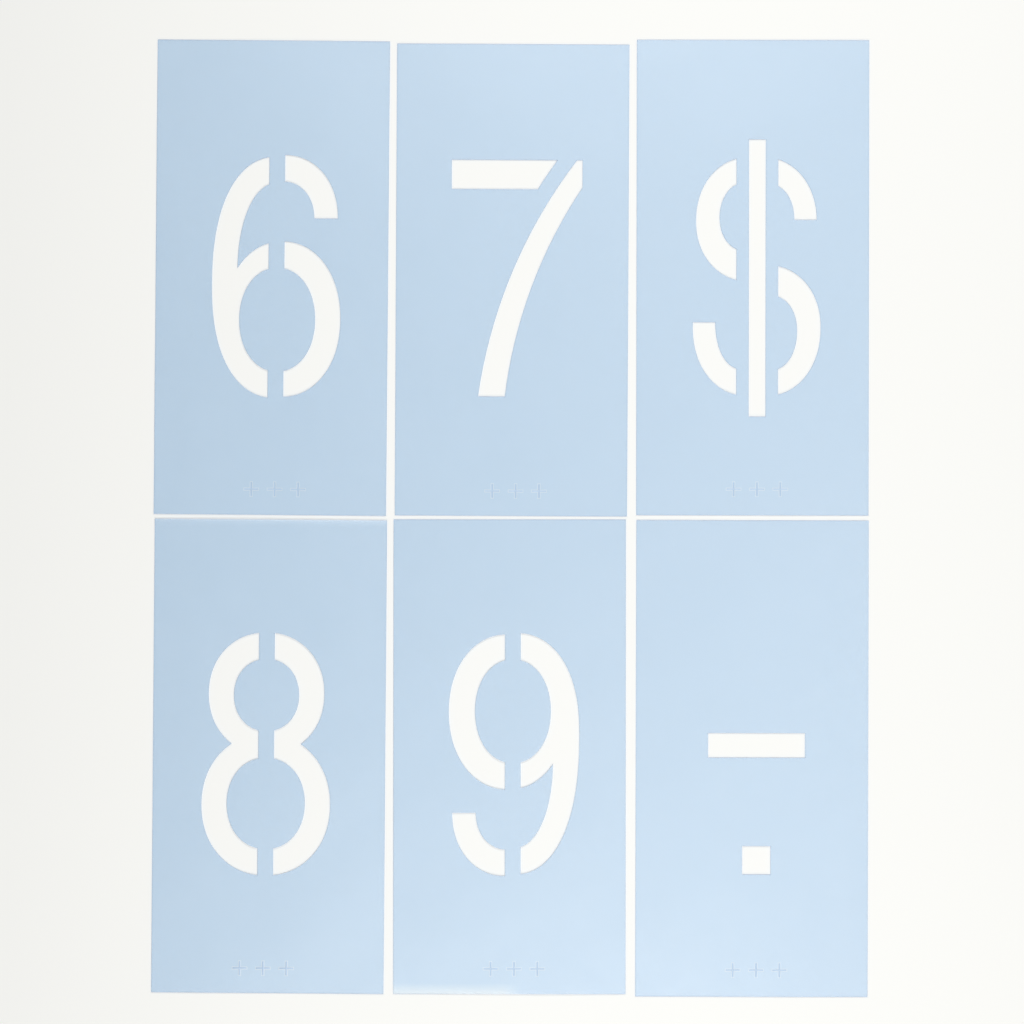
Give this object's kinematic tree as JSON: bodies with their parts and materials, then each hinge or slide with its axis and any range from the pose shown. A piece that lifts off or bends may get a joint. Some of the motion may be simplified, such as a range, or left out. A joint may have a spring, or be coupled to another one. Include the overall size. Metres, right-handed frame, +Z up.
{
  "type": "lettering stencil",
  "caption": "Set of loose see-through light blue film cards, each die cut with a large bridged numeral, currency sign or dash with point for tracing or painting.",
  "frame": {"origin": "centre of the set's bounding box, on the surface that the cards lie on", "axes": "+X to the right across a row of cards, +Y towards the top of the figures, +Z up out of the cards"},
  "size_m": [0.461, 0.6146, 0.0005],
  "materials": {
    "blue_film": "satin see-through light blue film"
  },
  "bodies": {
    "six_card": {"six_card": "blue_film"},
    "seven_card": {"seven_card": "blue_film"},
    "dollar_card": {"dollar_card": "blue_film"},
    "eight_card": {"eight_card": "blue_film"},
    "nine_card": {"nine_card": "blue_film"},
    "dash_card": {"dash_card": "blue_film"}
  },
  "joints": [
    {"name": "seven_card_lift", "type": "slide", "parent": "six_card", "child": "seven_card", "axis": [0, 0, 1], "range_m": [0, 0.1]},
    {"name": "dollar_card_lift", "type": "slide", "parent": "six_card", "child": "dollar_card", "axis": [0, 0, 1], "range_m": [0, 0.1]},
    {"name": "eight_card_lift", "type": "slide", "parent": "six_card", "child": "eight_card", "axis": [0, 0, 1], "range_m": [0, 0.1]},
    {"name": "nine_card_lift", "type": "slide", "parent": "six_card", "child": "nine_card", "axis": [0, 0, 1], "range_m": [0, 0.1]},
    {"name": "dash_card_lift", "type": "slide", "parent": "six_card", "child": "dash_card", "axis": [0, 0, 1], "range_m": [0, 0.1]}
  ]
}
